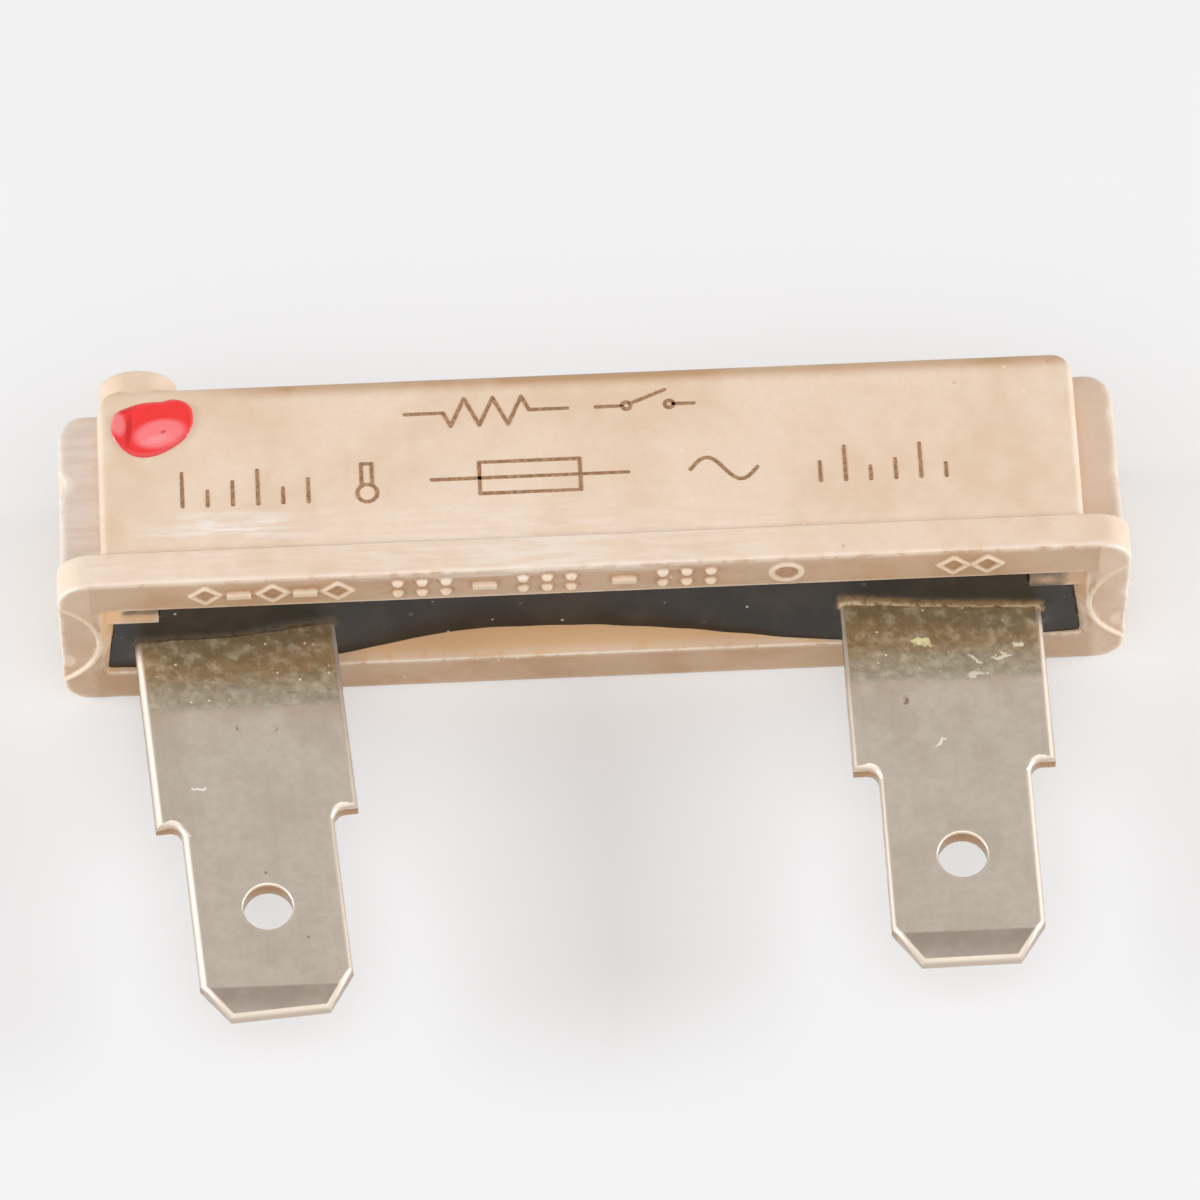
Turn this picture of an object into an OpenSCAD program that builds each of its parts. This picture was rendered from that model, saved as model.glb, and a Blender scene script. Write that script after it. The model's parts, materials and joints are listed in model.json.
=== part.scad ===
// Potted thermal fuse with two quick-connect tabs. Sizes are in millimetres.
// X runs along the housing, Y from the front mouth to the back wall and Z out of the marked face.
// The origin is the centre of the flange's back face, where the fuse seats in its bracket.

/* [Housing] */
// Length of the block behind the flange
block_length = 40.9; // [39:0.1:46]
// Height of the block
block_height = 8.9; // [8.2:0.1:10]
// Depth of the block behind the flange
block_depth = 8.1; // [7.8:0.1:10]
// Radius of the block's back corners in plan
block_corner = 1.2; // [0.6:0.1:1.8]
// Radius along the block's long edges
block_edge = 0.4; // [0.2:0.1:0.8]
// Length of each end rail
rail_length = 1.75; // [1.2:0.05:2.4]
// Height of the end rails
rail_height = 5.3; // [4:0.1:6.2]
// Radius of the rails' back corners in plan
rail_corner = 1.4; // [0.8:0.1:2]
// Radius along the rails' long edges
rail_edge = 0.3; // [0.1:0.1:0.6]
// Setback of the rails from the block's back wall
rail_setback = 0.1; // [0.05:0.05:0.6]
// Thickness of the flange
flange_thickness = 1.55; // [1.4:0.05:2.2]
// Height of the flange above the block's broad faces
flange_step = 0.35; // [0.2:0.05:0.8]
// Length of the flange past each rail
flange_lip = 0.15; // [0.1:0.05:0.6]
// Corner radius of the flange
flange_corner = 1.5; // [0.8:0.1:2.2]
// Radius along the flange's front edge
flange_edge = 0.2; // [0.1:0.05:0.4]
// Radius of the pip on the back wall
pip_radius = 1.65; // [1:0.05:2]
// Height of the pip
pip_height = 0.9; // [0.4:0.1:1.5]
// Gap from the pip to the block's top and end
pip_inset = 0.05; // [0.05:0.05:0.5]

/* [Cavity] */
// Height of the cavity and its mouth
cavity_height = 5.2; // [4.8:0.1:5.8]
// Thickness of the block's end walls
end_wall = 0.8; // [0.6:0.1:1.2]
// Thickness of the block's back wall
back_wall = 1.2; // [0.8:0.1:1.4]
// Flare of the mouth at each end
mouth_flare = 1; // [0.4:0.1:1.3]
// Depth over which the mouth flares
flare_depth = 1.3; // [1:0.1:1.4]
// Length of the ribs in the mouth's upper corners
rib_length = 1.45; // [0.8:0.05:2]
// Height of those ribs
rib_height = 1.75; // [1:0.05:1.8]
// Setback of those ribs from the mouth
rib_setback = 0.4; // [0.2:0.05:0.6]
// Depth of those ribs
rib_depth = 3; // [2:0.1:4]

/* [Screw seats] */
// Radius of the screw-head seats
seat_radius = 3.65; // [3:0.05:4.5]
// Length that each seat takes from the flange
seat_overlap = 1.65; // [1:0.05:1.9]
// Depth of the seats
seat_depth = 0.1; // [0.05:0.05:0.3]

/* [Potting] */
// Recess of the potting at the mouth's lower edge
potting_recess = 0.2; // [0.1:0.05:0.5]
// Backward lean of the potting's face in degrees
potting_lean = 9; // [4:1:14]
// Depth of the dip between the tabs
dip_depth = 1.3; // [0.6:0.1:1.8]
// Half the width of that dip
dip_reach = 11; // [8:0.5:13]
// Place of the dip along the mouth
dip_place = -2; // [-3:0.5:3]

/* [Tabs] */
// Width of the tab, as in the 6.3 mm standard
tab_width = 6.35; // [6.2:0.05:6.4]
// Thickness of the sheet
tab_thickness = 0.81; // [0.75:0.01:0.85]
// Length of the tab from its shoulders
tab_length = 9.18; // [8:0.02:10]
// Width of the shank behind the shoulders
shank_width = 8.45; // [7.6:0.05:8.6]
// Radius in the corner between a shoulder and the tab
shoulder_fillet = 0.5; // [0.2:0.05:0.8]
// Depth of the shank inside the mouth
shank_depth = 0.8; // [0.4:0.1:1.2]
// Height of the tabs' top face in the mouth
tab_level = -0.65; // [-0.9:0.05:-0.5]
// Distance from the block's end to the tab's middle
tab_inset = 5.65; // [5.5:0.05:6.5]
// Shift of both tabs along the mouth
tab_shift = -0.25; // [-0.3:0.05:0.3]
// Stand-out of the left shoulders
left_reach = 8.16; // [6:0.02:9]
// Stand-out of the right shoulders
right_reach = 7.05; // [6:0.05:9]
// Skew of the left tab in degrees
left_skew = 4.3; // [0:0.1:5]
// Skew of the right tab in degrees
right_skew = 0.7; // [-3:0.1:5]
// Width cut from each corner of the tip
tip_cut = 1.12; // [0.6:0.02:1.6]
// Length of that cut
tip_taper = 1.7; // [1:0.05:2.5]
// Length of the coined bevel at the tip
coin_length = 1.45; // [0.6:0.05:1.8]
// Thickness of the coined tip
coin_thickness = 0.45; // [0.3:0.05:0.7]
// Diameter of the detent hole
hole_diameter = 2.05; // [1.7:0.05:2.4]
// Distance from the tip to the hole's centre
hole_place = 4.9; // [4.4:0.01:6]
// Width of the tongue that carries the crimp barrel
tongue_width = 6; // [4:0.1:6.4]
// Length of the crimp barrel
barrel_length = 4; // [3:0.1:5]
// Wall of the crimp barrel
barrel_wall = 0.6; // [0.5:0.05:0.7]

/* [Cutoff] */
// Diameter of the cutoff's case
case_diameter = 4; // [3.8:0.1:4.2]
// Length of the case
case_length = 11.2; // [11:0.1:11.8]
// Wall of the case
case_wall = 0.3; // [0.25:0.05:0.35]
// Thickness of the case's closed end
case_base = 0.5; // [0.4:0.05:0.6]
// Thickness of the case's rolled rim
case_rim = 0.4; // [0.3:0.05:0.6]
// Gap from the back wall to the case
case_gap = 0.6; // [0.3:0.1:0.9]
// Place of the case's closed end along the housing
case_place = -7; // [-7.5:0.1:-6]
// Diameter of both leads
lead_diameter = 1; // [0.9:0.05:1.1]
// Length of lead past the crimp barrel
lead_stub = 0.4; // [0.2:0.1:0.6]
// Diameter of the rivet head and of the contact head
head_diameter = 1.85; // [1.6:0.05:1.9]
// Thickness of those heads
head_thickness = 0.4; // [0.3:0.05:0.5]
// Length of the pellet
pellet_length = 2.6; // [2.2:0.1:3]
// Radial play of pellet and discs in the case
play = 0.05; // [0.02:0.01:0.1]
// Thickness of the discs
disc_thickness = 0.25; // [0.2:0.05:0.35]
// Length of the compression spring
compression_length = 2.3; // [2.2:0.1:2.7]
// Wire diameter of the compression spring
compression_wire = 0.36; // [0.3:0.02:0.4]
// Turns of the compression spring
compression_turns = 3.5; // [3:0.5:3.5]
// Thickness of the star contact
star_thickness = 0.3; // [0.2:0.05:0.4]
// Diameter of the star contact's hub
star_hub = 2.2; // [1.8:0.1:2.6]
// Width of the star contact's fingers
star_finger = 0.56; // [0.4:0.02:0.7]
// Length of the trip spring
trip_length = 1.6; // [1.5:0.1:2]
// Wire diameter of the trip spring
trip_wire = 0.26; // [0.2:0.02:0.3]
// Turns of the trip spring
trip_turns = 3; // [2:0.5:3]
// How far both springs close up at their ends, from none to flat
coil_closing = 0.6; // [0:0.1:0.7]
// Diameter of the bushing's nose
nose_diameter = 2.2; // [1.8:0.1:2.4]
// Length of the bushing's nose past the case
nose_length = 1.2; // [0.8:0.1:1.6]
// Length of the resin cone
seal_length = 2.7; // [2.2:0.1:3.2]
// Diameter of the resin cone at the case
seal_diameter = 3.5; // [3:0.1:3.7]
// Diameter of the resin cone at the lead
seal_tip = 1.6; // [1.4:0.1:2]

/* [Lacquer] */
// Length of the red dab
dab_length = 3.5; // [2.6:0.1:4]
// Width of the red dab
dab_width = 2.7; // [2.6:0.1:3]
// Corner radius of the red dab
dab_corner = 1.2; // [0.5:0.1:1.25]
// Thickness of the red dab
dab_thickness = 0.1; // [0.05:0.05:0.2]
// Distance from the block's left end to the dab's middle
dab_inset = 2.3; // [2.2:0.1:5]
// Distance from the block's back wall to the dab's middle
dab_setback = 2; // [1.9:0.1:4]

/* [Hidden] */
$fn = 64;

// Length by which a cut runs past what it cuts
past = 1;

// Housing
rails_length = block_length + 2 * rail_length;
flange_length = rails_length + 2 * flange_lip;
flange_height = block_height + 2 * flange_step;
front = -flange_thickness;
top = block_height / 2;

// Cavity
cavity_length = block_length - 2 * end_wall;
mouth_length = cavity_length + 2 * mouth_flare;
cavity_back = block_depth - back_wall;
cavity_top = cavity_height / 2;

// Tabs
tab_middle = tab_level - tab_thickness / 2;
tab_floor = tab_level - tab_thickness;

// Places along the cutoff, counted from its closed end
case_radius = case_diameter / 2;
case_bore = case_radius - case_wall;
lead_radius = lead_diameter / 2;
head_radius = head_diameter / 2;
nose_radius = nose_diameter / 2;
compression_radius = case_bore - play - compression_wire / 2;
trip_radius = (head_radius + case_bore) / 2;
cutoff_depth = cavity_back - case_gap - case_radius;
pellet_at = case_base + head_thickness;
pellet_disc_at = pellet_at + pellet_length;
compression_at = pellet_disc_at + disc_thickness;
contact_disc_at = compression_at + compression_length;
star_at = contact_disc_at + disc_thickness;
contact_at = star_at + star_thickness;
bushing_at = contact_at + trip_length;
rim_at = case_length - case_rim;
nose_at = case_length + nose_length;
seal_at = case_length + seal_length;

// A flat shape in X and Z, made solid from its Y place towards the back
module along_y(from, depth) {
    translate([0, from + depth, 0])
        rotate([90, 0, 0])
            linear_extrude(depth)
                children();
}

// A flat shape in Y and Z, made solid along X about the middle
module along_x(length) {
    rotate([90, 0, 90])
        linear_extrude(length, center = true)
            children();
}

// A flat shape in X and Y, made solid along Z about the middle
module along_z(height) {
    linear_extrude(height, center = true)
        children();
}

// A rectangle about the origin with rounded corners
module rounded_rectangle(length, width, radius) {
    square([length - 2 * radius, width], center = true);
    square([length, width - 2 * radius], center = true);
    for (x = [-1, 1], y = [-1, 1])
        translate([x * (length / 2 - radius), y * (width / 2 - radius)])
            circle(radius);
}

// A block from inside the flange to the given depth, with round back corners and soft long edges
module moulded_block(length, height, depth, corner, edge) {
    start = -flange_thickness / 2;
    reach = 2 * (depth - start);
    intersection() {
        translate([0, start, 0])
            along_z(height)
                rounded_rectangle(length, reach, corner);
        translate([0, start, 0])
            along_x(length)
                rounded_rectangle(reach, height, edge);
        along_y(start, depth - start)
            rounded_rectangle(length, height, edge);
    }
}

// The flange plate, soft along its front edge
module flange() {
    depth = 4 * flange_thickness;
    intersection() {
        along_y(front, flange_thickness)
            rounded_rectangle(flange_length, flange_height, flange_corner);
        translate([0, front + depth / 2, 0])
            along_x(flange_length)
                rounded_rectangle(depth, flange_height, flange_edge);
        translate([0, front + depth / 2, 0])
            along_z(flange_height)
                rounded_rectangle(flange_length, depth, flange_edge);
    }
}

// The round pip that stands on the back wall behind the dab
module pip() {
    root = block_corner + pip_inset;
    translate([-block_length / 2 + pip_radius + pip_inset, 0, top - pip_radius - pip_inset])
        along_y(block_depth - root, root + pip_height)
            circle(pip_radius);
}

// The space inside the block, with its flared mouth running out in front
module cavity() {
    flare_end = front + flare_depth;
    difference() {
        along_z(cavity_height)
            polygon([
                [-mouth_length / 2, front - past], [mouth_length / 2, front - past],
                [mouth_length / 2, front], [cavity_length / 2, flare_end],
                [cavity_length / 2, cavity_back], [-cavity_length / 2, cavity_back],
                [-cavity_length / 2, flare_end], [-mouth_length / 2, front]
            ]);
        for (side = [-1, 1])
            corner_rib(side);
    }
}

// The rib that hangs in an upper corner of the mouth
module corner_rib(side) {
    size = [rib_length + mouth_flare + past, rib_depth, rib_height + past];
    corner = [cavity_length / 2 - rib_length, front + rib_setback, cavity_top - rib_height];
    mirror([side < 0 ? 1 : 0, 0, 0])
        translate(corner)
            cube(size);
}

// The seat that a screw head presses across an end of the flange
module screw_seat(side) {
    translate([side * (flange_length / 2 - seat_overlap + seat_radius), 0, 0])
        along_y(front - past, past + seat_depth)
            circle(seat_radius);
}

module housing() {
    color("burlywood")
        difference() {
            union() {
                flange();
                moulded_block(block_length, block_height, block_depth, block_corner, block_edge);
                moulded_block(rails_length, rail_height, block_depth - rail_setback, rail_corner, rail_edge);
                pip();
            }
            cavity();
            for (side = [-1, 1])
                screw_seat(side);
        }
}

// The space in front of the potting's leaning, dipped face
module potting_front() {
    dip_radius = (pow(dip_reach, 2) + pow(dip_depth, 2)) / (2 * dip_depth);
    translate([0, front + potting_recess, -cavity_top])
        rotate([-potting_lean, 0, 0]) {
            translate([-block_length, -block_length, -cavity_height])
                cube([2 * block_length, block_length, 3 * cavity_height]);
            translate([dip_place, dip_depth - dip_radius, -cavity_height])
                cylinder(r = dip_radius, h = 3 * cavity_height, $fn = 240);
        }
}

module potting() {
    color("dimgray")
        difference() {
            cavity();
            potting_front();
            for (side = [-1, 1]) {
                terminal_blank(side);
                lead(side);
            }
            cutoff_envelope();
        }
}

function tab_place(side) = side * (block_length / 2 - tab_inset) + tab_shift;
function tab_reach(side) = side < 0 ? left_reach : right_reach;
function tab_skew(side) = side < 0 ? left_skew : right_skew;

// The filled corner between a shoulder and the tab
module shoulder_corner(end) {
    mirror([end < 0 ? 1 : 0, 0])
        difference() {
            square(2 * shoulder_fillet, center = true);
            translate([shoulder_fillet, -shoulder_fillet])
                circle(shoulder_fillet);
        }
}

// The blade outside the potting, pushed askew about its root
module blade(side) {
    reach = tab_reach(side);
    tip = -reach - tab_length;
    half = tab_width / 2;
    shank = shank_width / 2;
    rotate([0, 0, tab_skew(side)])
        intersection() {
            along_z(2 * cavity_height) {
                polygon([
                    [tip_cut - half, tip], [half - tip_cut, tip], [half, tip + tip_taper], [half, -reach],
                    [shank, -reach], [shank, shank_depth], [-shank, shank_depth], [-shank, -reach],
                    [-half, -reach], [-half, tip + tip_taper]
                ]);
                for (end = [-1, 1])
                    translate([end * half, -reach])
                        shoulder_corner(end);
            }
            along_x(2 * shank_width)
                polygon([
                    [tip, tab_middle - coin_thickness / 2], [tip + coin_length, tab_floor],
                    [shank_depth, tab_floor], [shank_depth, tab_level],
                    [tip + coin_length, tab_level], [tip, tab_middle + coin_thickness / 2]
                ]);
        }
}

// A whole terminal before its hole and crimp bore are made
module terminal_blank(side) {
    tongue_end = cutoff_depth - front;
    translate([tab_place(side), front, 0]) {
        blade(side);
        translate([-tongue_width / 2, 0, tab_floor])
            cube([tongue_width, tongue_end, tab_thickness]);
        translate([0, tongue_end, 0])
            rotate([0, 90, 0])
                cylinder(r = lead_radius + barrel_wall, h = barrel_length, center = true);
    }
}

module terminal(side) {
    hole_reach = tab_reach(side) + tab_length - hole_place;
    difference() {
        terminal_blank(side);
        translate([tab_place(side), front, tab_middle])
            rotate([0, 0, tab_skew(side)])
                translate([0, -hole_reach, 0])
                    cylinder(d = hole_diameter, h = 2 * tab_thickness, center = true);
        translate([tab_place(side), cutoff_depth, 0])
            rotate([0, 90, 0])
                cylinder(r = lead_radius, h = 2 * barrel_length, center = true);
    }
}

module terminal_left() {
    color("silver")
        terminal(-1);
}

module terminal_right() {
    color("silver")
        terminal(1);
}

// Lays a piece drawn along Z on the cutoff's axis, counted from the closed end
module on_cutoff(at) {
    translate([case_place + at, cutoff_depth, 0])
        rotate([0, 90, 0])
            children();
}

// The round wire from a place on the cutoff to past the crimp barrel on that side
module wire(side, at) {
    start = case_place + at;
    end = tab_place(side) + side * (barrel_length / 2 + lead_stub);
    translate([min(start, end), cutoff_depth, 0])
        rotate([0, 90, 0])
            cylinder(r = lead_radius, h = abs(end - start));
}

// The lead on each side outside the cutoff
module lead(side) {
    wire(side, side < 0 ? 0 : case_length);
}

// The outside of the cutoff with its resin cone, as one solid
module cutoff_envelope() {
    on_cutoff(0)
        rotate_extrude()
            polygon([
                [0, 0], [case_radius, 0], [case_radius, case_length], [seal_diameter / 2, case_length],
                [seal_tip / 2, seal_at], [0, seal_at]
            ]);
}

module cutoff_case() {
    color("gainsboro")
        on_cutoff(0)
            rotate_extrude()
                polygon([
                    [lead_radius, 0], [case_radius, 0], [case_radius, case_length],
                    [nose_radius, case_length], [nose_radius, rim_at], [case_bore, rim_at],
                    [case_bore, case_base], [lead_radius, case_base]
                ]);
}

module case_lead() {
    color("silver") {
        wire(-1, case_base + head_thickness / 2);
        on_cutoff(case_base)
            cylinder(r = head_radius, h = head_thickness);
    }
}

module isolated_lead() {
    color("silver") {
        wire(1, contact_at + head_thickness / 2);
        on_cutoff(contact_at)
            cylinder(r = head_radius, h = head_thickness);
    }
}

module ceramic_bushing() {
    color("white")
        on_cutoff(0)
            rotate_extrude()
                polygon([
                    [lead_radius, bushing_at], [case_bore, bushing_at], [case_bore, rim_at],
                    [nose_radius, rim_at], [nose_radius, nose_at], [lead_radius, nose_at]
                ]);
}

module seal_resin() {
    color("sienna")
        on_cutoff(0)
            rotate_extrude()
                polygon([
                    [nose_radius, case_length], [seal_diameter / 2, case_length], [seal_tip / 2, seal_at],
                    [lead_radius, seal_at], [lead_radius, nose_at], [nose_radius, nose_at]
                ]);
}

// The contact's six fingers reach the case wall from a round hub
module star_contact() {
    color("lightgray")
        on_cutoff(star_at)
            linear_extrude(star_thickness) {
                circle(d = star_hub);
                intersection() {
                    circle(case_bore);
                    for (turn = [0 : 60 : 120])
                        rotate(turn)
                            square([2 * case_diameter, star_finger], center = true);
                }
            }
}

// Height of a coil's wire after part of its turns, with closer turns at both ends
function coil_height(part, length, wire) =
    wire / 2 + (length - wire) * (part - coil_closing * sin(360 * part) / (2 * PI));

// A spring of round wire that stands on Z = 0
module coil(radius, length, wire, turns) {
    sides = 8;
    steps = 20 * turns;
    points = [
        for (step = [0 : steps], side = [0 : sides - 1])
            let (
                turn = 360 * turns * step / steps,
                around = 360 * side / sides,
                out = radius + wire / 2 * cos(around),
                up = coil_height(step / steps, length, wire) + wire / 2 * sin(around)
            )
                [out * cos(turn), out * sin(turn), up]
    ];
    walls = [
        for (step = [0 : steps - 1], side = [0 : sides - 1])
            let (next = (side + 1) % sides, row = step * sides)
                [row + side, row + sides + side, row + sides + next, row + next]
    ];
    first = [for (side = [0 : sides - 1]) side];
    last = [for (side = [sides - 1 : -1 : 0]) steps * sides + side];
    polyhedron(points, concat(walls, [first, last]));
}

module trip_spring() {
    color("darkgray")
        on_cutoff(contact_at)
            coil(trip_radius, trip_length, trip_wire, trip_turns);
}

module compression_spring() {
    color("darkgray")
        on_cutoff(compression_at)
            coil(compression_radius, compression_length, compression_wire, compression_turns);
}

module spring_disc(at) {
    on_cutoff(at)
        cylinder(r = case_bore - play, h = disc_thickness);
}

module pellet_disc() {
    color("goldenrod")
        spring_disc(pellet_disc_at);
}

module contact_disc() {
    color("goldenrod")
        spring_disc(contact_disc_at);
}

module thermal_pellet() {
    color("palegreen")
        on_cutoff(pellet_at)
            cylinder(r = case_bore - play, h = pellet_length);
}

// The dab lies on the marked face in the back left corner
module paint_dot() {
    color("red")
        translate([dab_inset - block_length / 2, block_depth - dab_setback, top])
            linear_extrude(dab_thickness)
                rounded_rectangle(dab_length, dab_width, dab_corner);
}

housing();
potting();
terminal_left();
terminal_right();
cutoff_case();
case_lead();
isolated_lead();
ceramic_bushing();
seal_resin();
star_contact();
trip_spring();
compression_spring();
pellet_disc();
contact_disc();
thermal_pellet();
paint_dot();
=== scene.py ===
"""Potted thermal fuse: the finished look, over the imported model."""

import json
import math

import bpy
import numpy as np
from mathutils import Matrix, Vector, noise


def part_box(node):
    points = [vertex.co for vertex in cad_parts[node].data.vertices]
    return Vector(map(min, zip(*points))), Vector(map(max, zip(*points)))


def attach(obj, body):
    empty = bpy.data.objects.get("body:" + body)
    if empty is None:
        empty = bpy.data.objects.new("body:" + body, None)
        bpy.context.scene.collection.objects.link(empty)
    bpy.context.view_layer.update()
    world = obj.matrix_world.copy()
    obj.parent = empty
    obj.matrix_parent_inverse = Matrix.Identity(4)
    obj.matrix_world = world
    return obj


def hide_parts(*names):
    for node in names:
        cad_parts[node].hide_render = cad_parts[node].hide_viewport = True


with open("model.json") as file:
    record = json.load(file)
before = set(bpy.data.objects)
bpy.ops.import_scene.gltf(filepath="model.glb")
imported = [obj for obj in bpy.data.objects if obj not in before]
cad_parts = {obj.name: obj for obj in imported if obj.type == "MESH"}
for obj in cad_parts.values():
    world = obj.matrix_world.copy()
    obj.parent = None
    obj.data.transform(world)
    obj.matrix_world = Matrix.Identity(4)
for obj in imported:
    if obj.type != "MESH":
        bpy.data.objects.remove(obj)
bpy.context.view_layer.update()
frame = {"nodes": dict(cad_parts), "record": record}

MM = 0.001
WELD = 1e-6

# Heights and depths of the moulding, in millimetres, as the solids have them.
FLANGE_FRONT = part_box("housing")[0].y / MM
FLANGE_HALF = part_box("housing")[1].x / MM
FLANGE_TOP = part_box("housing")[1].z / MM
MARKED_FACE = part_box("paint_dot")[0].z / MM
MOUTH_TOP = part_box("potting")[1].z / MM
MOUTH_HALF = 20.65
CAVITY_BACK = 6.9
RAIL_TOP = 2.65
BLOCK_HALF = 20.45
TAB_TOP = -0.65
TAB_THICKNESS = 0.81
SHANK_HALF = 4.225

# Each tab's middle where it leaves the flange's front plane.
TAB_ROOTS = {"left": -15.05, "right": 14.55}


# Small tools.


def srgb(code):
    """An sRGB hex colour as the linear colour that a shader's socket takes."""
    parts = [int(code[i : i + 2], 16) / 255 for i in (0, 2, 4)]
    linear = [c / 12.92 if c <= 0.04045 else ((c + 0.055) / 1.055) ** 2.4 for c in parts]
    return (*linear, 1.0)


def per_mm(size):
    """A pattern's scale on coordinates in metres, from its real size in millimetres."""
    return 1 / (size * MM)


def add(tree, kind, settings=None, inputs=None):
    """One node: settings are its own, and each input is linked if it is a socket and set if it isn't."""
    node = tree.nodes.new(kind)
    for name, value in (settings or {}).items():
        setattr(node, name, value)
    for name, value in (inputs or {}).items():
        if isinstance(value, bpy.types.NodeSocket):
            tree.links.new(value, node.inputs[name])
        else:
            node.inputs[name].default_value = value
    return node


def new_material(name):
    """A material with only its shader, and the parts that its nodes are added to."""
    material = bpy.data.materials.new(name)
    material.use_nodes = True
    tree = material.node_tree
    return material, tree, tree.nodes["Principled BSDF"]


def amount(tree, *factors):
    """The product of values, each a socket, a number, or a socket's eased run: the socket, the run's start
    and end, and what it comes to there if that isn't 0 and 1."""
    product = None
    for factor in factors:
        if isinstance(factor, tuple):
            value, start, end, low, high = (*factor, 0.0, 1.0)[:5]
            run = {"Value": value, "From Min": start, "From Max": end, "To Min": low, "To Max": high}
            eased_run = add(tree, "ShaderNodeMapRange", {"interpolation_type": "SMOOTHSTEP"}, run)
            factor = eased_run.outputs["Result"]
        if product is None:
            product = factor
        else:
            both = add(tree, "ShaderNodeMath", {"operation": "MULTIPLY"}, {0: product, 1: factor})
            product = both.outputs["Value"]
    return product


def wash(tree, colour, over, *factors):
    """A hex colour, or a socket's, laid over another by an amount."""
    over = srgb(over) if isinstance(over, str) else over
    share = amount(tree, *factors)
    return add(tree, "ShaderNodeMix", {"data_type": "RGBA"}, {0: share, 6: colour, 7: over}).outputs[2]


def cloud(tree, place, size, low, high, detail=4):
    """Soft patches of one size in millimetres, from 0 below the low mark to 1 above the high one."""
    field = add(
        tree,
        "ShaderNodeTexNoise",
        inputs={"Vector": place, "Scale": per_mm(size), "Detail": detail, "Roughness": 0.6},
    )
    return amount(tree, (field.outputs["Fac"], low, high))


def specks(tree, place, spacing, radius, share):
    """Round specks of a radius in millimetres, in a share of the cells that a spacing gives."""
    cells = add(tree, "ShaderNodeTexVoronoi", inputs={"Vector": place, "Scale": per_mm(spacing)})
    edge = radius / spacing
    dot = add(
        tree,
        "ShaderNodeMapRange",
        inputs={"Value": cells.outputs["Distance"], "From Min": edge, "From Max": edge / 2},
    )
    pick = add(tree, "ShaderNodeSeparateColor", inputs={"Color": cells.outputs["Color"]}).outputs["Red"]
    chosen = add(tree, "ShaderNodeMath", {"operation": "GREATER_THAN"}, {0: pick, 1: 1 - share})
    return amount(tree, dot.outputs["Result"], chosen.outputs["Value"])


def surface(tree, shader, colour, roughness, height=None, depth=0.0):
    """Gives a shader its colour, its roughness and, with a height, a relief of a depth in millimetres."""
    tree.links.new(colour, shader.inputs["Base Color"])
    tree.links.new(roughness, shader.inputs["Roughness"])
    if height is not None:
        relief = {"Height": height, "Strength": 1.0, "Distance": depth * MM}
        bump = add(tree, "ShaderNodeBump", inputs=relief)
        tree.links.new(bump.outputs["Normal"], shader.inputs["Normal"])


def rise_of(tree, normal):
    """How steeply a normal rises or falls: 1 for a level face and 0 for an upright one."""
    height = add(tree, "ShaderNodeSeparateXYZ", inputs={"Vector": normal}).outputs["Z"]
    return add(tree, "ShaderNodeMath", {"operation": "ABSOLUTE"}, {0: height}).outputs["Value"]


def spot(tree, place, middle, reach, turn, soft=0.6):
    """One spot in a plane: its middle and half-lengths in millimetres, its turn in degrees, and the share of
    it that fades."""
    local = add(
        tree,
        "ShaderNodeMapping",
        {"vector_type": "TEXTURE"},
        {
            "Vector": place,
            "Location": (middle[0] * MM, middle[1] * MM, 0),
            "Rotation": (0, 0, math.radians(turn)),
            "Scale": (reach[0] * MM, reach[1] * MM, 1),
        },
    )
    far = add(tree, "ShaderNodeVectorMath", {"operation": "LENGTH"}, {0: local.outputs["Vector"]})
    return amount(tree, (far.outputs["Value"], 1.0, 1.0 - soft))


# Finishes that sit at one place.

# The darker band at a tab's root, partly a coat of flux and partly a painted reflection of the housing's
# front and the potting: how far out from the front plane it reaches, how far it is thick, and how ragged
# its end is.
FLUX_REFLECTION_END = 3.0
FLUX_REFLECTION_DEEP = 1.8
FLUX_REFLECTION_RAGGED = 0.3

# How far from a tab's end its coined tip starts, and where its stain begins and is full.
COIN_START = 1.45
COIN_EDGE = 0.12
STAIN = (0.3, 1.1)

# How far the edges of spots on the tabs are drawn about.
SPOT_SWAY = 0.8

# Crumbs, spots and scratches on the tabs, one of them a scratch's painted glint: middle across and from
# the tip, half-lengths, turn and colour.
TAB_SPOTS = (
    ((13.62, 15.07), (0.62, 0.2), -6, "F0E6B0"),
    ((12.69, 12.25), (0.26, 0.18), -30, "6B4A2E"),
    # A painted highlight: the glint of a scratch.
    ((13.95, 10.24), (0.46, 0.11), 30, "EDE3D3"),
    ((16.82, 14.25), (0.55, 0.14), 15, "DCD6BF"),
    ((15.75, 14.2), (0.5, 0.14), -35, "DCD6BF"),
    ((15.71, 13.39), (0.5, 0.13), 0, "D8CDBE"),
    ((17.63, 14.83), (0.38, 0.28), 0, "E6DFC8"),
    ((-17.33, 10.7), (0.36, 0.1), 10, "EFE7DA"),
    ((-15.5, 13.46), (0.1, 0.2), 0, "8A7448"),
    ((-13.93, 13.43), (0.1, 0.2), -20, "8A7448"),
)

# Tones of the lacquer dab: middle, half-lengths, turn, share that fades, colour and strength.
DAB_SPOTS = (
    ((-17.85, 5.8), (1.3, 0.8), 12, 0.35, "FF8083", 0.95),
    ((-17.95, 5.55), (0.9, 0.3), 12, 0.8, "FF9EA0", 0.7),
    ((-19.6, 6.4), (0.4, 0.8), 8, 0.5, "F88C8E", 0.75),
    ((-19.15, 6.0), (0.17, 1.1), -6, 0.6, "CC171C", 0.85),
    ((-19.2, 7.0), (0.6, 0.14), 25, 0.6, "C8151B", 0.6),
    ((-17.7, 5.9), (0.16, 0.1), 20, 0.6, "BC3C42", 0.8),
)


# Materials.


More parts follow.
